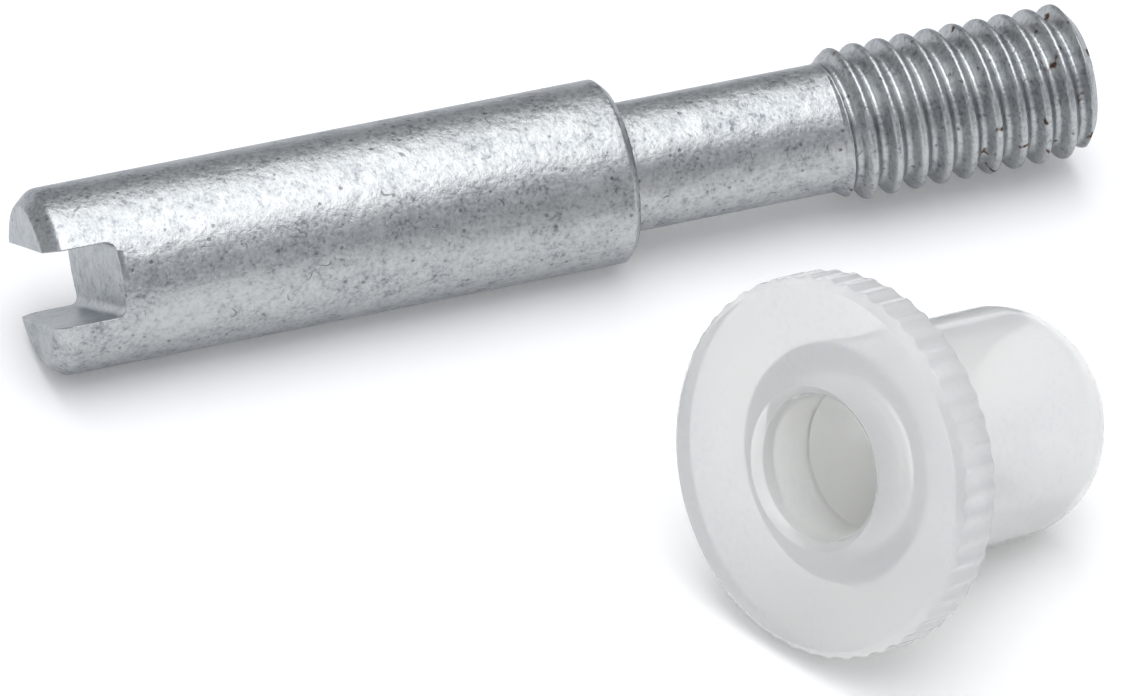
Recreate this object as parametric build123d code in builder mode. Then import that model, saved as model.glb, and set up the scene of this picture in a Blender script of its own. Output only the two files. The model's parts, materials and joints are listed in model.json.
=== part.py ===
from build123d import *
import math
import os

# A captive panel screw and the moulded sleeve that keeps it in its panel, lying apart on a bench.
# Millimetres, +Z up, +X from the screw's slotted end to its threaded end.
# The origin is on the bench, under the middle of the pair.

# slotted screw, turned from steel bar; the rolled thread is left as its outside cylinder
head_d = 3.5
head_len = 11.3
neck_d = 2.45
neck_len = 4.3
thread_d = 2.95
thread_len = 5.0
nose_chamfer_len = 0.3
nose_chamfer_rise = 0.26
shoulder_chamfer = 0.14
thread_run_in = 0.25
point_chamfer = 0.3

# driver slot, sawn across the free end of the head
slot_width = 1.4
slot_depth = 1.25
slot_corner_r = 0.18
slot_roll = 30.0

# retaining sleeve: fluted flange, round barrel with a domed nose, catching lip inside
flange_d = 6.8
flange_t = 0.9
flange_bevel = 0.15
flute_count = 50
flute_depth = 0.06
flute_width = 0.34
barrel_d = 4.2
barrel_straight_len = 4.0
nose_r = 1.45
mouth_d = 3.4
lip_bore_d = 2.65
lip_len = 1.4
lip_lead_in = 0.15
cavity_d = 3.2

# where the sleeve lies: its flange face from the screw's axis and slotted end, and its heading
sleeve_ahead = 10.77
sleeve_aside = 11.96
sleeve_heading = 24.9

os.makedirs("parts", exist_ok=True)

# The sleeve rests on its flange's back edge and on its domed nose, which tips it nose down.
flange_r = flange_d / 2
barrel_r = barrel_d / 2
nose_centre_r = barrel_r - nose_r
nose_centre_x = flange_t + barrel_straight_len
nose_end_x = nose_centre_x + math.sqrt(nose_r**2 - (mouth_d / 2 - nose_centre_r) ** 2)
rest_rise = flange_r - nose_centre_r
rest_run = barrel_straight_len
sleeve_dip = math.acos(nose_r / math.hypot(rest_run, rest_rise)) - math.atan2(rest_run, rest_rise)
heading = math.radians(sleeve_heading)
sleeve_dir = Vector(
    math.cos(sleeve_dip) * math.cos(heading),
    math.cos(sleeve_dip) * math.sin(heading),
    -math.sin(sleeve_dip),
)
flange_centre_z = flange_r * math.cos(sleeve_dip) + flange_t * math.sin(sleeve_dip)

# The screw lies on its head. The pair spans from the flange's near rim to the head's far side.
head_r = head_d / 2
neck_r = neck_d / 2
thread_r = thread_d / 2
thread_from = head_len + neck_len
screw_len = thread_from + thread_len
flange_reach_y = flange_r * math.sqrt(1 - sleeve_dir.Y**2) - flange_bevel * sleeve_dir.Y
screw_start = Vector(-screw_len / 2, (sleeve_aside + flange_reach_y - head_r) / 2, head_r)
flange_centre = Vector(
    screw_start.X + sleeve_ahead,
    screw_start.Y - sleeve_aside,
    flange_centre_z,
)

screw_profile = Plane(origin=screw_start, x_dir=(1, 0, 0), z_dir=(0, -1, 0))
slot_across = Vector(0, -math.cos(math.radians(slot_roll)), math.sin(math.radians(slot_roll)))
slot_side = Plane(origin=screw_start, x_dir=(1, 0, 0), z_dir=slot_across)

with BuildPart() as slotted_screw:
    with BuildSketch(screw_profile):
        with BuildLine():
            Polyline(
                (0, 0),
                (0, head_r - nose_chamfer_rise),
                (nose_chamfer_len, head_r),
                (head_len - shoulder_chamfer, head_r),
                (head_len, head_r - shoulder_chamfer),
                (head_len, neck_r),
                (thread_from, neck_r),
                (thread_from + thread_run_in, thread_r),
                (screw_len - point_chamfer, thread_r),
                (screw_len, thread_r - point_chamfer),
                (screw_len, 0),
                close=True,
            )
        make_face()
    revolve(axis=Axis(screw_start, (1, 0, 0)))
    # the slot's floor has rounded corners, and it runs right across the head
    with BuildSketch(slot_side):
        with Locations((slot_depth - slot_width / 2, 0)):
            RectangleRounded(slot_width, slot_width, slot_corner_r)
        with Locations((slot_depth - slot_width, 0)):
            Rectangle(slot_width, slot_width)
    extrude(amount=head_d, both=True, mode=Mode.SUBTRACT)
slotted_screw.part.label = "slotted_screw"
export_step(slotted_screw.part, "parts/slotted_screw.step")

sleeve_side = sleeve_dir.cross(Vector(0, 0, 1)).normalized()
sleeve_profile = Plane(origin=flange_centre, x_dir=sleeve_dir, z_dir=sleeve_side)
flange_face = Plane(origin=flange_centre, x_dir=sleeve_side.cross(sleeve_dir), z_dir=sleeve_dir)
flute_r = (flute_width**2 / 4 + flute_depth**2) / (2 * flute_depth)

with BuildPart() as retaining_sleeve:
    with BuildSketch(sleeve_profile):
        with BuildLine():
            nose = RadiusArc(
                (nose_centre_x, barrel_r),
                (nose_end_x, mouth_d / 2),
                nose_r,
            )
            Polyline(
                nose @ 1,
                (nose_end_x, cavity_d / 2),
                (lip_len, cavity_d / 2),
                (lip_len, lip_bore_d / 2),
                (lip_lead_in, lip_bore_d / 2),
                (0, lip_bore_d / 2 + lip_lead_in),
                (0, flange_r - flange_bevel),
                (flange_bevel, flange_r),
                (flange_t, flange_r),
                (flange_t, barrel_r),
                nose @ 0,
            )
        make_face()
    revolve(axis=Axis(flange_centre, sleeve_dir))
    # shallow flutes round the rim; a ridge between two of them points straight down
    with BuildSketch(flange_face):
        with PolarLocations(flange_r - flute_depth + flute_r, flute_count, start_angle=180 / flute_count):
            Circle(flute_r)
    extrude(amount=flange_t, mode=Mode.SUBTRACT)
retaining_sleeve.part.label = "retaining_sleeve"
export_step(retaining_sleeve.part, "parts/retaining_sleeve.step")
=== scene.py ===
import json
import math

import bmesh
import bpy
import numpy as np
from mathutils import Matrix, Vector


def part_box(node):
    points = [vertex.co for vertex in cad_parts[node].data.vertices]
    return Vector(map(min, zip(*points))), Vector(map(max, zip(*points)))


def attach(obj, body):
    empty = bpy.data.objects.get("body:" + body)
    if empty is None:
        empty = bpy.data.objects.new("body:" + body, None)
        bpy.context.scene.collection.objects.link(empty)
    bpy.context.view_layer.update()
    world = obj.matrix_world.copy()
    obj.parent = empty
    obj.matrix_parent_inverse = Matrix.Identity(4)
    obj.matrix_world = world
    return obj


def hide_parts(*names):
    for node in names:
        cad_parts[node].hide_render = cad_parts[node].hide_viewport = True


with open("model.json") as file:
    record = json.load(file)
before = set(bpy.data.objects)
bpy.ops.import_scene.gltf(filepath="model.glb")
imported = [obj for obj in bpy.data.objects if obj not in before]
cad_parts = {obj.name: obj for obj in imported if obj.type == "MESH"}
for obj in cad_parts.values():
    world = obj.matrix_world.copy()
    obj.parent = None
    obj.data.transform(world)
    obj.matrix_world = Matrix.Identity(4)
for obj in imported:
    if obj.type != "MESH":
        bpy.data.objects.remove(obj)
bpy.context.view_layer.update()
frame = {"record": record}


# ---------------------------------------------------------------- slotted screw
# Turned from steel bar: a plain head, a thinner neck and a rolled M3 thread. The driver slot is
# sawn across the free end, the edges are broken by tumbling, and the whole screw is zinc plated.

mm = 0.001
screw_low, screw_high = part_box("slotted_screw")
screw_start = Vector((screw_low.x, (screw_low.y + screw_high.y) / 2, (screw_low.z + screw_high.z) / 2))
screw_len = screw_high.x - screw_low.x
head_r = (screw_high.z - screw_low.z) / 2 - 0.001 * mm
head_len = 11.3 * mm
neck_r = 1.225 * mm
neck_len = 4.3 * mm
nose_chamfer_len = 0.3 * mm
nose_chamfer_rise = 0.26 * mm
shoulder_chamfer = 0.14 * mm
edge_ease = 0.03 * mm
nose_ease = 0.07 * mm
thread_r = 1.47 * mm
thread_pitch = 0.5 * mm
thread_crest_r = 0.08 * mm
thread_root_r = 0.1 * mm
thread_phase = 15.41 * mm  # the middle of a crest stands on the screw's top here
run_in_start = head_len + neck_len - 0.08 * mm
run_in_len = 0.36 * mm
point_chamfer_len = 0.22 * mm
point_chamfer_rise = 0.27 * mm
neck_fillet = 0.06 * mm
slot_half = 0.7 * mm
slot_depth = 1.25 * mm
slot_corner_r = 0.18 * mm
slot_floor_slant = 0.045  # the floor's run along the screw for each step across it
slot_roll = math.radians(30)

slot_across = Vector((0, -math.cos(slot_roll), math.sin(slot_roll)))
slot_up = slot_across.cross(Vector((1, 0, 0)))


def outer_radius(x):
    """The head's radius at x from the slotted end: end face edge, nose chamfer, plain barrel."""
    cone = head_r - nose_chamfer_rise + nose_chamfer_rise * x / nose_chamfer_len
    cone = cone - edge_ease * np.exp(-x / edge_ease * 2.5)
    sharp = 2 / nose_ease
    return np.minimum(head_r, -np.log(np.exp(-cone * sharp) + np.exp(-head_r * sharp)) / sharp)


def slot_width_at(x):
    """Half the slot's width at depth x: eased at the mouth, straight, round at the floor's corners."""
    mouth = edge_ease - np.sqrt(np.maximum(edge_ease**2 - np.maximum(edge_ease - x, 0) ** 2, 0))
    below = np.maximum(x - (slot_depth - slot_corner_r), 0)
    corner = slot_corner_r - np.sqrt(np.maximum(slot_corner_r**2 - below**2, 0))
    return slot_half + mouth - corner


def thread_drop(axial):
    """How far a point lies below the crest, for its axial distance from the nearest crest's middle."""
    slope = math.tan(math.radians(60))
    away = np.abs((axial + thread_pitch / 2) % thread_pitch - thread_pitch / 2)
    to_root = thread_pitch / 2 - away
    depth = thread_pitch / 2 * slope - thread_crest_r - thread_root_r
    crest_reach = thread_crest_r * math.cos(math.radians(30))
    root_reach = thread_root_r * math.cos(math.radians(30))
    crest = thread_crest_r - np.sqrt(thread_crest_r**2 - np.minimum(away, crest_reach) ** 2)
    flank = thread_crest_r / 2 + (away - crest_reach) * slope
    root = depth - thread_root_r + np.sqrt(thread_root_r**2 - np.minimum(to_root, root_reach) ** 2)
    return np.where(away <= crest_reach, crest, np.where(to_root >= root_reach, flank, root))


def thread_radius(x, angle):
    """The threaded end's radius: run-in ramp, right-hand thread, chamfered point."""
    from_crest = x - thread_phase - thread_pitch * (angle - slot_roll) / (2 * math.pi)
    turned = thread_r - thread_drop(from_crest)
    ramp = neck_r + (thread_r - neck_r) * np.clip((x - run_in_start) / run_in_len, 0, 1)
    point_start = screw_len - point_chamfer_len
    point = thread_r - point_chamfer_rise * np.clip((x - point_start) / point_chamfer_len, 0, 1)
    return np.minimum(np.minimum(turned, np.maximum(ramp, neck_r)), point)


class Shell:
    """Gathers grids of points into one mesh, and joins them where their borders meet."""

    def __init__(self):
        self.points, self.faces, self.count = [], [], 0

    def grid(self, points, closed=False):
        """Adds rows of points; closed joins each row's last point to its first."""
        rows, cols = points.shape[:2]
        index = self.count + np.arange(rows * cols).reshape(rows, cols)
        if closed:
            index = np.hstack([index, index[:, :1]])
        quads = np.stack([index[:-1, :-1], index[:-1, 1:], index[1:, 1:], index[1:, :-1]], axis=-1)
        self.faces.append(quads.reshape(-1, 4))
        self.points.append(points.reshape(-1, 3))
        self.count += rows * cols

    def mesh(self, name, weld=0.0004 * mm):
        """Welds the grids' borders and turns every face outward."""
        made = bpy.data.meshes.new(name)
        made.from_pydata(np.concatenate(self.points).tolist(), [], np.concatenate(self.faces).tolist())
        work = bmesh.new()
        work.from_mesh(made)
        bmesh.ops.remove_doubles(work, verts=work.verts, dist=weld)
        bmesh.ops.dissolve_degenerate(work, edges=work.edges, dist=weld)
        bmesh.ops.recalc_face_normals(work, faces=work.faces)
        work.to_mesh(made)
        work.free()
        made.shade_smooth()
        return made


def screw_points(x, up, across):
    """Points at x from the slotted end and at the distances up and across the slot."""
    x, up, across = np.broadcast_arrays(x, up, across)
    return (
        np.array(screw_start)
        + x[..., None] * np.array((1, 0, 0))
        + up[..., None] * np.array(slot_up)
        + across[..., None] * np.array(slot_across)
    )


# Two jaws stand beside the slot. Their columns run from edge to edge, closer together near the
# edges, and their rows run down from the end face, closer together where the outline turns.
jaw_columns = np.linspace(-1, 1, 92)
edge_crowding = 0.35
jaw_steps = np.sin(jaw_columns * math.pi / 2) * edge_crowding + jaw_columns * (1 - edge_crowding)
jaw_x = np.concatenate([
    np.linspace(0, edge_ease, 5)[:-1],
    np.linspace(edge_ease, nose_chamfer_len * 0.85, 8)[:-1],
    np.linspace(nose_chamfer_len * 0.85, nose_chamfer_len * 1.15, 6)[:-1],
    np.linspace(nose_chamfer_len * 1.15, slot_depth - slot_corner_r, 16)[:-1],
    slot_depth - slot_corner_r + slot_corner_r * np.sin(np.linspace(0, math.pi / 2, 9)),
])
jaw_r = outer_radius(jaw_x)
jaw_w = slot_width_at(jaw_x)
jaw_reach = np.arccos(jaw_w / jaw_r)
half_chord = np.sqrt(jaw_r**2 - jaw_w**2)


def slant(x, across):
    """The saw leaves the floor a little deeper at one side of the head; the end face stays true."""
    fade = np.clip((x - nose_chamfer_len * 1.5) / (slot_depth - nose_chamfer_len * 1.5), 0, 1)
    fade = fade * np.clip((2.2 * slot_depth - x) / slot_depth, 0, 1)
    return x + slot_floor_slant * across * fade


screw_shell = Shell()
for side in (1, -1):
    angle = jaw_steps[None, :] * jaw_reach[:, None]
    up, across = side * jaw_r[:, None] * np.cos(angle), jaw_r[:, None] * np.sin(angle)
    x = np.repeat(jaw_x[:, None], len(jaw_steps), axis=1)
    screw_shell.grid(screw_points(slant(x, across), up, across))
    # the end face fills the half moon between the slot's edge and the jaw's round one
    share = np.linspace(0, 1, 14)[:, None]
    chord_across = jaw_steps * half_chord[0]
    face_up = jaw_w[0] + (jaw_r[0] * np.cos(jaw_steps * jaw_reach[0]) - jaw_w[0]) * share
    face_across = chord_across + (jaw_r[0] * np.sin(jaw_steps * jaw_reach[0]) - chord_across) * share
    screw_shell.grid(screw_points(0.0, side * face_up, face_across))

# The slot is one strip: down one jaw's wall, over the floor and up the other wall.
floor_w = np.linspace(jaw_w[-1], -jaw_w[-1], 22)
slot_x = np.concatenate([jaw_x, np.full(len(floor_w) - 2, slot_depth), jaw_x[::-1]])
slot_w = np.concatenate([jaw_w, floor_w[1:-1], -jaw_w[::-1]])
slot_r = outer_radius(slot_x)
across = np.sqrt(slot_r**2 - slot_w**2)[:, None] * jaw_steps[None, :]
screw_shell.grid(screw_points(slant(slot_x[:, None] + 0 * across, across), slot_w[:, None], across))

# Below the slot the screw is closed rings, whose points meet the jaws' and the floor's.
slot_end_angle = np.arccos(floor_w / jaw_r[-1])
ring_angle = np.concatenate([
    jaw_steps[:-1] * jaw_reach[-1],
    slot_end_angle[:-1],
    math.pi + jaw_steps[:-1] * jaw_reach[-1],
    math.pi + slot_end_angle[:-1],
])
head_end = head_len - shoulder_chamfer
ease = edge_ease * 0.7
barrel = [(x, head_r) for x in np.linspace(slot_depth, head_end - ease, 60)]
barrel += [
    (head_end - ease * 0.3, head_r - ease * 0.08),
    (head_end + ease * 0.2, head_r - ease * 0.35),
    (head_end + shoulder_chamfer * 0.5, head_r - shoulder_chamfer * 0.5),
    (head_len - ease * 0.35, head_r - shoulder_chamfer + ease * 0.2),
    (head_len - ease * 0.08, head_r - shoulder_chamfer - ease * 0.3),
    (head_len, head_r - shoulder_chamfer - ease),
]
shoulder_face_r = head_r - shoulder_chamfer - ease
barrel += [(head_len, r) for r in np.linspace(shoulder_face_r, neck_r + neck_fillet, 6)[1:]]
barrel += [(head_len + neck_fillet * (1 - math.cos(t)), neck_r + neck_fillet * (1 - math.sin(t)))
           for t in np.linspace(0, math.pi / 2, 6)[1:]]
barrel += [(x, neck_r) for x in np.linspace(head_len + neck_fillet, run_in_start - 0.02 * mm, 24)[1:]]
barrel_x, barrel_r = np.array(barrel).T
thread_step = 0.0215 * mm
thread_x = np.concatenate([
    np.arange(run_in_start, screw_len - point_chamfer_len, thread_step),
    np.linspace(screw_len - point_chamfer_len, screw_len - 0.004 * mm, 10),
])
all_x = np.concatenate([barrel_x, thread_x])
round_r = np.concatenate([
    np.repeat(barrel_r[:, None], len(ring_angle), axis=1),
    thread_radius(thread_x[:, None], ring_angle[None, :]),
])
point_rings = np.linspace(1, 0, 10)[:, None]
rim_r = round_r[-1] - 0.02 * mm
all_x = np.concatenate([all_x, np.full(len(point_rings), screw_len)])
round_r = np.concatenate([round_r, rim_r[None, :] * point_rings])
up, across = round_r * np.cos(ring_angle), round_r * np.sin(ring_angle)
x = np.repeat(all_x[:, None], len(ring_angle), axis=1)
x = np.where(x < 3 * slot_depth, slant(x, across), x)
screw_shell.grid(screw_points(x, up, across), closed=True)

slotted_screw = bpy.data.objects.new("slotted_screw_plated", screw_shell.mesh("slotted_screw_plated"))
bpy.context.scene.collection.objects.link(slotted_screw)


def add(tree, kind, inputs=None, **settings):
    """Adds a node of that kind; inputs are values or the sockets of earlier nodes."""
    made = tree.nodes.new("ShaderNode" + kind)
    for name, value in settings.items():
        setattr(made, name, value)
    for name, value in (inputs or {}).items():
        if isinstance(value, bpy.types.NodeSocket):
            tree.links.new(value, made.inputs[name])
        else:
            made.inputs[name].default_value = value
    return made


def ramp(tree, factor, stops):
    """A colour ramp through (place, colour) stops."""
    made = add(tree, "ValToRGB", {"Fac": factor})
    elements = made.color_ramp.elements
    while len(elements) < len(stops):
        elements.new(0.5)
    for element, (place, colour) in zip(elements, stops):
        element.position = place
        element.color = (*colour, 1)
    return made.outputs["Color"]


def noise(tree, place, scale, detail=2.0, rough=0.6):
    """Cloudy variation about 0.5, with scale in waves per metre."""
    made = add(tree, "TexNoise", {
        "Vector": place, "Scale": scale, "Detail": detail, "Roughness": rough})
    return made.outputs["Fac"]


def math_node(tree, operation, first, second=0.0, third=0.0):
    """One sum on sockets or numbers."""
    return add(tree, "Math", {0: first, 1: second, 2: third}, operation=operation).outputs["Value"]


def spread(tree, value, low, high, to_low=0.0, to_high=1.0):
    """The value's range from low to high, turned into the other range and held inside it."""
    made = add(tree, "MapRange", {
        "Value": value, "From Min": low, "From Max": high, "To Min": to_low, "To Max": to_high})
    return made.outputs["Result"]


def mixed(tree, share, first, second):
    """Two colours mixed by a share from 0 to 1."""
    made = add(tree, "Mix", data_type="RGBA")
    tree.links.new(share, made.inputs[0])
    for socket, value in ((made.inputs[6], first), (made.inputs[7], second)):
        if isinstance(value, bpy.types.NodeSocket):
            tree.links.new(value, socket)
        else:
            socket.default_value = (*value, 1)
    return made.outputs[2]


def zinc_plating():
    """Dull zinc over steel: crystalline grain, cloudy patches, pits, scratches, rust on the thread."""
    made = bpy.data.materials.new("zinc_plating")
    made.use_nodes = True
    tree = made.node_tree
    tree.nodes.clear()
    place = add(tree, "TexCoord").outputs["Object"]

    # three sizes of crystal patch, in waves per metre, make the tone
    grain = noise(tree, place, 13000.0, 2.0, 0.7)
    crust = noise(tree, place, 4600.0, 3.0, 0.65)
    cloud = noise(tree, place, 1300.0, 3.0)
    tone = math_node(tree, "MULTIPLY_ADD", grain, 0.45, math_node(tree, "MULTIPLY", crust, 0.3))
    tone = math_node(tree, "MULTIPLY_ADD", cloud, 0.25, tone)
    colour = ramp(tree, tone, [
        (0.36, (0.21, 0.225, 0.24)), (0.44, (0.375, 0.39, 0.405)), (0.5, (0.45, 0.465, 0.472)),
        (0.58, (0.525, 0.535, 0.535))])

    # pits are small round spots; scratches are short pieces of a wandering line
    pit = add(tree, "TexVoronoi", {"Vector": place, "Scale": 2600.0}).outputs["Distance"]
    pit = spread(tree, pit, 0.07, 0.13, 1.0, 0.0)
    wander = math_node(tree, "SUBTRACT", noise(tree, place, 1500.0, 1.0), 0.5)
    on_line = spread(tree, math_node(tree, "ABSOLUTE", wander), 0.004, 0.012, 1.0, 0.0)
    in_piece = spread(tree, noise(tree, place, 3000.0, 0.0), 0.68, 0.74)
    hurt = math_node(tree, "MAXIMUM", pit, math_node(tree, "MULTIPLY", on_line, in_piece))
    dark_hollow = (0.13, 0.13, 0.135)
    colour = mixed(tree, math_node(tree, "MULTIPLY", hurt, 0.7), colour, dark_hollow)

    # rust starts on the thread, where the plating is thinnest, and grows towards the point
    along = add(tree, "SeparateXYZ", {"Vector": place}).outputs["X"]
    toward_point = spread(tree, along, 7.0 * mm, 10.3 * mm, 0.0, 0.07)
    rust = math_node(tree, "ADD", noise(tree, place, 2600.0, 2.0), toward_point)
    on_thread = spread(tree, along, 4.6 * mm, 5.2 * mm)
    rust = math_node(tree, "MULTIPLY", spread(tree, rust, 0.69, 0.74), on_thread)
    brown_rust = (0.13, 0.085, 0.06)
    colour = mixed(tree, rust, colour, brown_rust)

    rough = spread(tree, grain, 0.3, 0.7, 0.30, 0.42)
    rough = math_node(tree, "ADD", rough, math_node(tree, "MULTIPLY", rust, 0.3))
    height = math_node(tree, "MULTIPLY_ADD", crust, 1.8, grain)
    height = math_node(tree, "MULTIPLY_ADD", cloud, 5.0, height)
    height = math_node(tree, "SUBTRACT", height, math_node(tree, "MULTIPLY", hurt, 0.5))
    bump = add(tree, "Bump", {"Height": height, "Strength": 1.0, "Distance": 0.006 * mm})
    skin = add(tree, "BsdfPrincipled", {
        "Base Color": colour, "Metallic": 1.0, "Roughness": rough,
        "Specular Tint": (0.8, 0.82, 0.85, 1), "Normal": bump.outputs["Normal"]})
    add(tree, "OutputMaterial", {"Surface": skin.outputs["BSDF"]})
    return made


slotted_screw.data.materials.append(zinc_plating())
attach(slotted_screw, "root")
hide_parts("slotted_screw")


# ---------------------------------------------------------------- retaining sleeve
# One injection moulding in natural plastic: a flange with a fluted rim, a round barrel with a domed
# nose that goes through the panel, and a lip inside the flange that the screw's thread is forced past.

bore = next(m for m in frame["record"]["mounts"] if m["name"] == "sleeve_bore")
sleeve_dir = -Vector(bore["axis"]).normalized()
lip_lead_in = 0.15 * mm
lip_len = lip_lead_in + bore["dims"]["length_mm"] * mm
lip_r = bore["dims"]["r_mm"] * mm
flange_centre = Vector(bore["pos_m"]) - sleeve_dir * (lip_lead_in + lip_len) / 2
sleeve_side = sleeve_dir.cross(Vector((0, 0, 1))).normalized()
sleeve_down = sleeve_side.cross(sleeve_dir)
flange_r = 3.398 * mm  # a hair under 3.4 mm, so that the rim keeps clear of the bench
flange_t = 0.9 * mm
flange_bevel = 0.15 * mm
flute_count = 50
flute_depth = 0.038 * mm
flute_width = 0.34 * mm
fluted_band = 0.12 * mm
barrel_r_outer = 2.1 * mm
barrel_straight_len = 4.0 * mm
nose_r = 1.45 * mm
mouth_r = 1.7 * mm
cavity_r = 1.6 * mm
moulded_ease = 0.035 * mm
root_fillet = 0.1 * mm


def rounded(corners, steps=5):
    """A path through (x, r, rounding) corners, each turned on its own radius."""
    path = []
    for i, (x, r, rounding) in enumerate(corners):
        here = np.array((x, r))
        before = np.array(corners[i - 1][:2]) - here
        after = np.array(corners[(i + 1) % len(corners)][:2]) - here
        before, after = before / np.linalg.norm(before), after / np.linalg.norm(after)
        half = math.acos(np.clip(before @ after, -1, 1)) / 2
        if rounding == 0:
            path.append(here)
            continue
        centre = here + (before + after) / np.linalg.norm(before + after) * rounding / math.sin(half)
        first, last = (here + side * rounding / math.tan(half) - centre for side in (before, after))
        for share in np.linspace(0, 1, steps):
            arm = first * (1 - share) + last * share
            path.append(centre + arm / np.linalg.norm(arm) * rounding)
    return np.array(path)


def divided(path, longest, rim_longest):
    """The closed path with no step longer than that, and shorter ones round the flange's rim."""
    out = []
    for here, there in zip(path, np.roll(path, -1, axis=0)):
        step = rim_longest if min(here[1], there[1]) > flange_r - 2 * flange_bevel else longest
        parts = max(1, math.ceil(np.linalg.norm(there - here) / step))
        out += [here + (there - here) * k / parts for k in range(parts)]
    return np.array(out)


nose_centre_r = barrel_r_outer - nose_r
nose_centre_x = flange_t + barrel_straight_len
mouth_angle = math.asin((mouth_r - nose_centre_r) / nose_r)
nose_arc = [(nose_centre_x + nose_r * math.cos(t), nose_centre_r + nose_r * math.sin(t), 0)
            for t in np.linspace(math.pi / 2, mouth_angle, 26)]
nose_end_x = nose_arc[-1][0]
sleeve_path = rounded([
    (lip_lead_in, lip_r, moulded_ease), (0, lip_r + lip_lead_in, moulded_ease),
    (0, flange_r - flange_bevel, moulded_ease), (flange_bevel, flange_r, moulded_ease),
    (flange_t, flange_r, moulded_ease), (flange_t, barrel_r_outer, root_fillet),
    *nose_arc[:-1], (*nose_arc[-1][:2], moulded_ease), (nose_end_x, cavity_r, moulded_ease),
    (lip_len, cavity_r, root_fillet), (lip_len, lip_r, moulded_ease)])
sleeve_path = divided(sleeve_path, 0.2 * mm, 0.05 * mm)

flute_pitch = 2 * math.pi / flute_count
flute_half = flute_width / 2 / flange_r
in_flute = np.concatenate([
    flute_half * np.linspace(-1, 1, 10)[:-1],
    np.linspace(flute_half, flute_pitch - flute_half, 4)[:-1],
])
sleeve_angle = np.arange(flute_count)[:, None] * flute_pitch + in_flute[None, :] + flute_pitch / 2
sleeve_angle = sleeve_angle.ravel()
from_flute = np.abs((np.tile(in_flute, flute_count) + flute_pitch / 2) % flute_pitch - flute_pitch / 2)
hollow = flute_depth * np.clip(1 - (from_flute / flute_half) ** 2, 0, 1)
path_x, path_r = sleeve_path.T
over_rim = np.minimum(path_r[:, None], flange_r - hollow[None, :])
near_rim = np.clip((path_r - flange_r + fluted_band) / fluted_band, 0, 1)
on_back = path_r[:, None] - near_rim[:, None] * hollow
sleeve_r = np.where(path_x[:, None] < flange_t - 1.2 * moulded_ease, over_rim, on_back)

around = (
    np.cos(sleeve_angle)[None, :, None] * np.array(sleeve_down)
    + np.sin(sleeve_angle)[None, :, None] * np.array(sleeve_side)
)
sleeve_points = (
    np.array(flange_centre)
    + path_x[:, None, None] * np.array(sleeve_dir)
    + sleeve_r[..., None] * around
)
sleeve_shell = Shell()
sleeve_shell.grid(np.concatenate([sleeve_points, sleeve_points[:1]]), closed=True)
sleeve = bpy.data.objects.new("retaining_sleeve_moulded", sleeve_shell.mesh("retaining_sleeve_moulded"))
bpy.context.scene.collection.objects.link(sleeve)


def natural_plastic():
    """Unpigmented plastic, cloudy right through and faintly mottled, with a smooth moulded skin."""
    made = bpy.data.materials.new("natural_plastic")
    made.use_nodes = True
    tree = made.node_tree
    tree.nodes.clear()
    place = add(tree, "TexCoord").outputs["Object"]
    cloud = noise(tree, place, 420.0, 2.0)
    mottle = noise(tree, place, 6500.0, 3.0, 0.7)
    tone = math_node(tree, "MULTIPLY_ADD", mottle, 0.5, math_node(tree, "MULTIPLY", cloud, 0.5))
    colour = ramp(tree, tone, [
        (0.38, (0.93, 0.945, 0.935)), (0.5, (0.985, 0.985, 0.955)), (0.6, (0.995, 0.99, 0.93))])
    skin = noise(tree, place, 3000.0, 2.0)
    rough = spread(tree, skin, 0.3, 0.7, 0.03, 0.06)
    bump = add(tree, "Bump", {"Height": skin, "Strength": 0.2, "Distance": 0.002 * mm})
    body = add(tree, "BsdfPrincipled", {
        "Base Color": colour, "Roughness": rough, "IOR": 1.48,
        "Transmission Weight": 0.45, "Subsurface Weight": 1.0, "Subsurface Scale": 0.0007,
        "Subsurface Radius": (1.0, 1.0, 0.95), "Normal": bump.outputs["Normal"]})
    add(tree, "OutputMaterial", {"Surface": body.outputs["BSDF"]})
    return made


sleeve.data.materials.append(natural_plastic())
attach(sleeve, "root")
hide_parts("retaining_sleeve")


# ---------------------------------------------------------------- bench
# A plain white sheet that the two pieces lie on. It is flat under them and lifts gently at its
# far edge, so that it also stands behind them when they are looked at from low down.

bench_r = 0.8
bench_flat_r = 0.45
bench_lift = 0.03
bench_rings = np.concatenate([
    np.linspace(0.0, bench_flat_r, 6), np.linspace(bench_flat_r, bench_r, 14)[1:]])
bench_angle = np.linspace(0, 2 * math.pi, 96, endpoint=False)
rise = bench_lift * np.clip((bench_rings - bench_flat_r) / (bench_r - bench_flat_r), 0, 1) ** 2
bench_points = np.stack([
    bench_rings[:, None] * np.cos(bench_angle), bench_rings[:, None] * np.sin(bench_angle),
    np.repeat(rise[:, None], len(bench_angle), axis=1)], axis=-1)
bench_shell = Shell()
bench_shell.grid(bench_points, closed=True)
bench = bpy.data.objects.new("bench", bench_shell.mesh("bench"))
bpy.context.scene.collection.objects.link(bench)

# the sheet glows a little to the eye and in reflections, but casts no light
sheet_glow = 0.12
white_sheet = bpy.data.materials.new("white_sheet")
white_sheet.use_nodes = True
sheet_tree = white_sheet.node_tree
sheet_tree.nodes.clear()
matt = add(sheet_tree, "BsdfDiffuse", {"Color": (0.97, 0.97, 0.97, 1)})
ray = add(sheet_tree, "LightPath").outputs
seen = math_node(sheet_tree, "MAXIMUM", ray["Is Camera Ray"], ray["Is Glossy Ray"])
seen = math_node(sheet_tree, "MAXIMUM", seen, ray["Is Transmission Ray"])
glow = add(sheet_tree, "Emission", {
    "Color": (1, 1, 1, 1), "Strength": math_node(sheet_tree, "MULTIPLY", seen, sheet_glow)})
sheet = add(sheet_tree, "AddShader", {0: matt.outputs["BSDF"], 1: glow.outputs["Emission"]})
add(sheet_tree, "OutputMaterial", {"Surface": sheet.outputs["Shader"]})
bench.data.materials.append(white_sheet)


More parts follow.
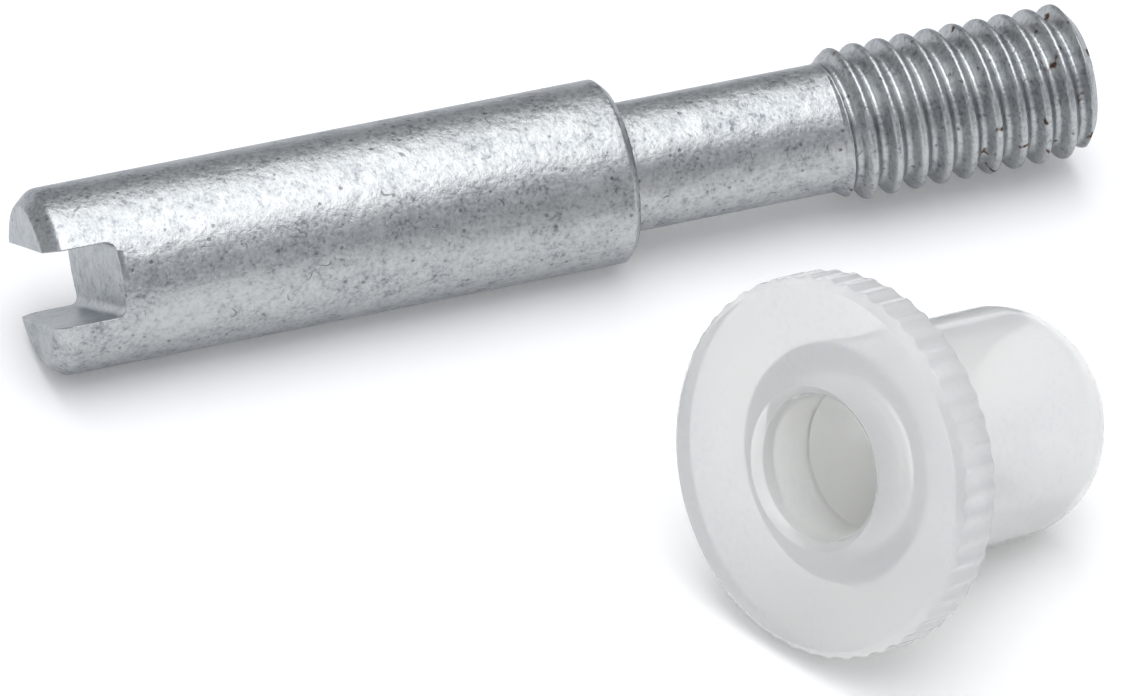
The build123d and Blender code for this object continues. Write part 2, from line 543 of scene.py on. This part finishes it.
# ---------------------------------------------------------------- light and camera
# One wide soft lamp hangs over the middle of the bench. The room around it is a soft grey that is
# lighter above and behind the viewer.

lamp_height = 0.6
lamp_size = (0.44, 0.94)
lamp_radiance = 2.08
lamp_data = bpy.data.lights.new("overhead_lamp", "AREA")
lamp_data.shape = "RECTANGLE"
lamp_data.size, lamp_data.size_y = lamp_size
lamp_data.energy = lamp_radiance * math.pi * lamp_size[0] * lamp_size[1]
lamp = bpy.data.objects.new("overhead_lamp", lamp_data)
lamp.location = (0.02, 0.02, lamp_height)
bpy.context.scene.collection.objects.link(lamp)

room = bpy.data.worlds.new("room")
bpy.context.scene.world = room
room.use_nodes = True
room_tree = room.node_tree
room_tree.nodes.clear()
viewer_side = (0, -0.5, 0.866)
toward = add(room_tree, "TexCoord").outputs["Generated"]
on_side = add(room_tree, "VectorMath", {0: toward, 1: viewer_side}, operation="DOT_PRODUCT")
shade = ramp(room_tree, spread(room_tree, on_side.outputs["Value"], -1.0, 1.0), [
    (0.30, (0.33, 0.34, 0.36)), (0.62, (0.48, 0.49, 0.50)), (0.854, (0.40, 0.42, 0.46)),
    (0.95, (0.68, 0.70, 0.74)), (1.0, (0.86, 0.87, 0.90))])
room_light = add(room_tree, "Background", {"Color": shade, "Strength": 1.0})
add(room_tree, "OutputWorld", {"Surface": room_light.outputs["Background"]})

# a long lens looks down on the pair from the sleeve's side, nearer the slotted end
camera_place = Vector((-0.041459, -0.110837, 0.090536))
camera_target = Vector((-0.000822, 0.003848, 0))
camera_roll = math.radians(0.37)
camera_data = bpy.data.cameras.new("camera")
camera_data.lens = 259.3
camera_data.sensor_width = 36
camera_data.clip_start, camera_data.clip_end = 0.01, 5
camera = bpy.data.objects.new("camera", camera_data)
camera_turn = (camera_target - camera_place).to_track_quat("-Z", "Y").to_matrix()
camera_turn = camera_turn @ Matrix.Rotation(camera_roll, 3, "Z")
camera.matrix_world = Matrix.Translation(camera_place) @ camera_turn.to_4x4()
bpy.context.scene.collection.objects.link(camera)
bpy.context.scene.camera = camera
bpy.context.scene.view_settings.view_transform = "Standard"
